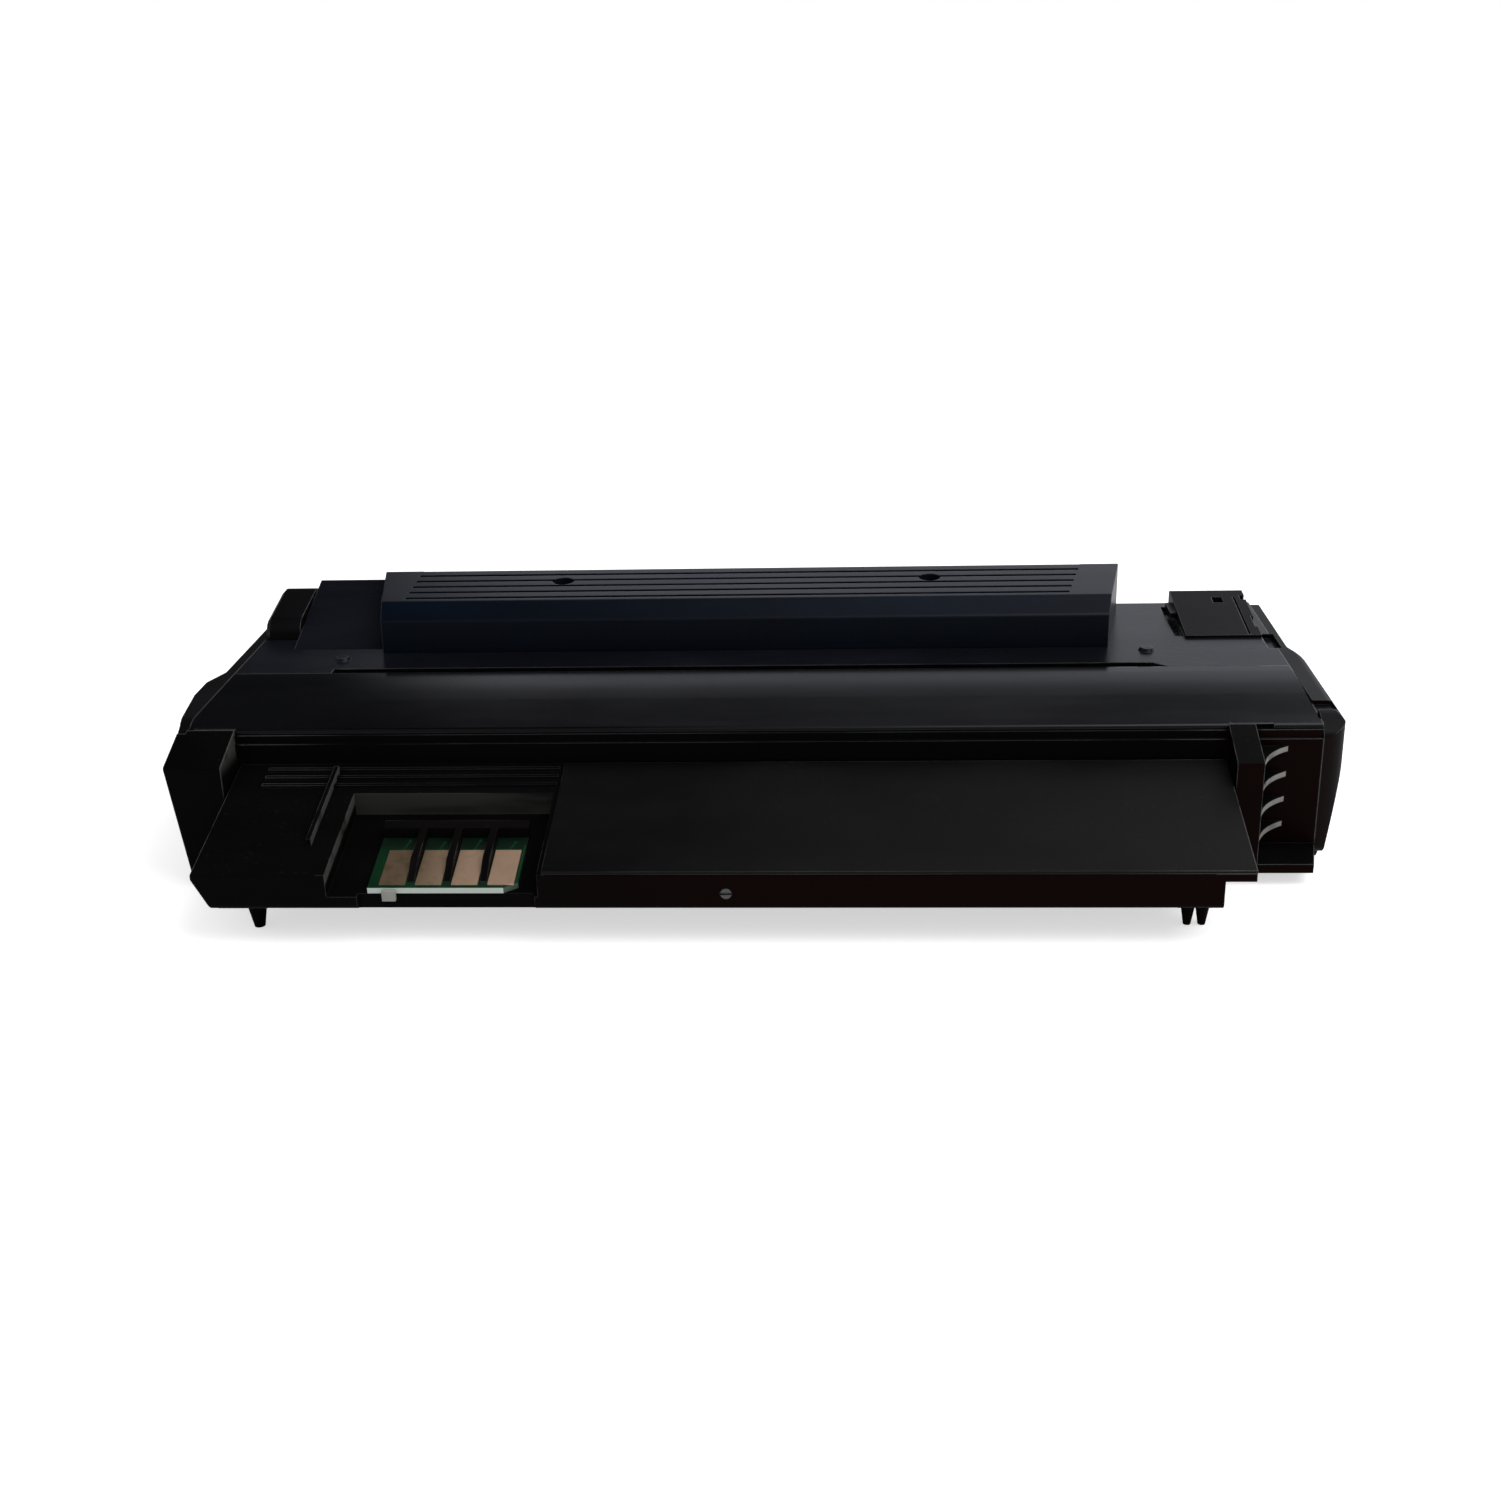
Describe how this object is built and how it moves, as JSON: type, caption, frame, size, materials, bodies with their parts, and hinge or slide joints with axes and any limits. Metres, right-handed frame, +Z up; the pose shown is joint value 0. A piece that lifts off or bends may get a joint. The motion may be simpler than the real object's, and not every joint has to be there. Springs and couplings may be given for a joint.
{
  "type": "toner cartridge",
  "caption": "Black laser printer cartridge with drum, developer and gear train inside, a sloping chip tongue, a laser slit and a ribbed grip.",
  "frame": {"origin": "middle of the bounding box on the surface the cartridge rests on", "axes": "+X along the rollers to the contact side, +Y from the tongue to the grip, +Z up"},
  "size_m": [0.308, 0.14, 0.0514],
  "materials": {
    "body_plastic": "moulded, satin black, scuffed",
    "lid_plastic": "smooth satin black, soft reflections",
    "grip_plastic": "satin black, ribbed",
    "cap_plastic": "moulded black, worn",
    "screw_steel": "zinc-plated steel",
    "board": "green circuit board",
    "pad_gold": "gold-plated pads",
    "latch_plastic": "pale plastic",
    "drum_coating": "glossy blue-green photosensitive coating",
    "gear_plastic": "natural acetal",
    "shaft_steel": "ground steel",
    "sleeve_aluminium": "dark blasted aluminium",
    "bush_plastic": "dark conductive plastic",
    "foam": "grey open-cell foam",
    "film": "clear polyester film",
    "roller_rubber": "conductive rubber",
    "bracket_steel": "zinc-plated sheet steel",
    "blade_rubber": "amber polyurethane",
    "felt": "grey felt",
    "plug_plastic": "soft pale plastic",
    "contact_steel": "bright spring steel"
  },
  "bodies": {
    "cartridge": {"hopper_body": "body_plastic", "hopper_lid": "lid_plastic", "tongue_plate": "body_plastic", "waste_housing": "lid_plastic", "handle_cover": "grip_plastic", "handle_screws": "screw_steel", "gear_cover": "lid_plastic", "contact_cover": "lid_plastic", "right_end_cap": "cap_plastic", "left_end_cap": "cap_plastic", "cap_screws": "screw_steel", "chip_board": "board", "chip_pads": "pad_gold", "chip_guard": "body_plastic", "chip_latch": "latch_plastic", "front_catch": "screw_steel", "drum_shaft": "shaft_steel", "developer_bushes": "bush_plastic", "supply_bushes": "bush_plastic", "idler_post": "shaft_steel", "charge_holders": "bush_plastic", "charge_springs": "shaft_steel", "doctor_bracket": "bracket_steel", "doctor_blade": "blade_rubber", "wiper_bracket": "bracket_steel", "wiper_blade": "blade_rubber", "blade_screws": "screw_steel", "end_seals": "felt", "toner_plug": "plug_plastic", "contact_plates": "contact_steel"},
    "drum": {"drum_tube": "drum_coating", "drum_gear": "gear_plastic", "drum_flange": "gear_plastic"},
    "developer": {"developer_sleeve": "sleeve_aluminium", "developer_shaft": "shaft_steel", "developer_gear": "gear_plastic"},
    "supply": {"supply_foam": "foam", "supply_shaft": "shaft_steel", "supply_gear": "gear_plastic"},
    "idler": {"idler_gear": "gear_plastic"},
    "agitator": {"agitator_shaft": "gear_plastic", "agitator_film": "film", "agitator_gear": "gear_plastic"},
    "charge": {"charge_rubber": "roller_rubber", "charge_shaft": "shaft_steel"}
  },
  "joints": [
    {"name": "drum_spin", "type": "hinge", "parent": "cartridge", "child": "drum", "pos_m": [0, 0.0215, 0.0145], "axis": [1, 0, 0], "continuous": true},
    {"name": "developer_spin", "type": "hinge", "parent": "cartridge", "child": "developer", "pos_m": [0, 0.00235, 0.01689], "axis": [1, 0, 0], "continuous": true},
    {"name": "supply_spin", "type": "hinge", "parent": "cartridge", "child": "supply", "pos_m": [0, -0.01075, 0.01458], "axis": [1, 0, 0], "continuous": true},
    {"name": "idler_spin", "type": "hinge", "parent": "cartridge", "child": "idler", "pos_m": [0, -0.00656, 0.0264], "axis": [1, 0, 0], "continuous": true},
    {"name": "agitator_spin", "type": "hinge", "parent": "cartridge", "child": "agitator", "pos_m": [0, -0.01554, 0.02772], "axis": [1, 0, 0], "continuous": true},
    {"name": "charge_spin", "type": "hinge", "parent": "cartridge", "child": "charge", "pos_m": [0, 0.0299, 0.02905], "axis": [1, 0, 0], "continuous": true}
  ],
  "couplings": [
    {"joint": "developer_spin", "follows": "drum_spin", "ratio": -1.6667},
    {"joint": "idler_spin", "follows": "drum_spin", "ratio": 2.0833},
    {"joint": "supply_spin", "follows": "drum_spin", "ratio": -1.7857},
    {"joint": "agitator_spin", "follows": "drum_spin", "ratio": 1.6667},
    {"joint": "charge_spin", "follows": "drum_spin", "ratio": -2.6667}
  ]
}
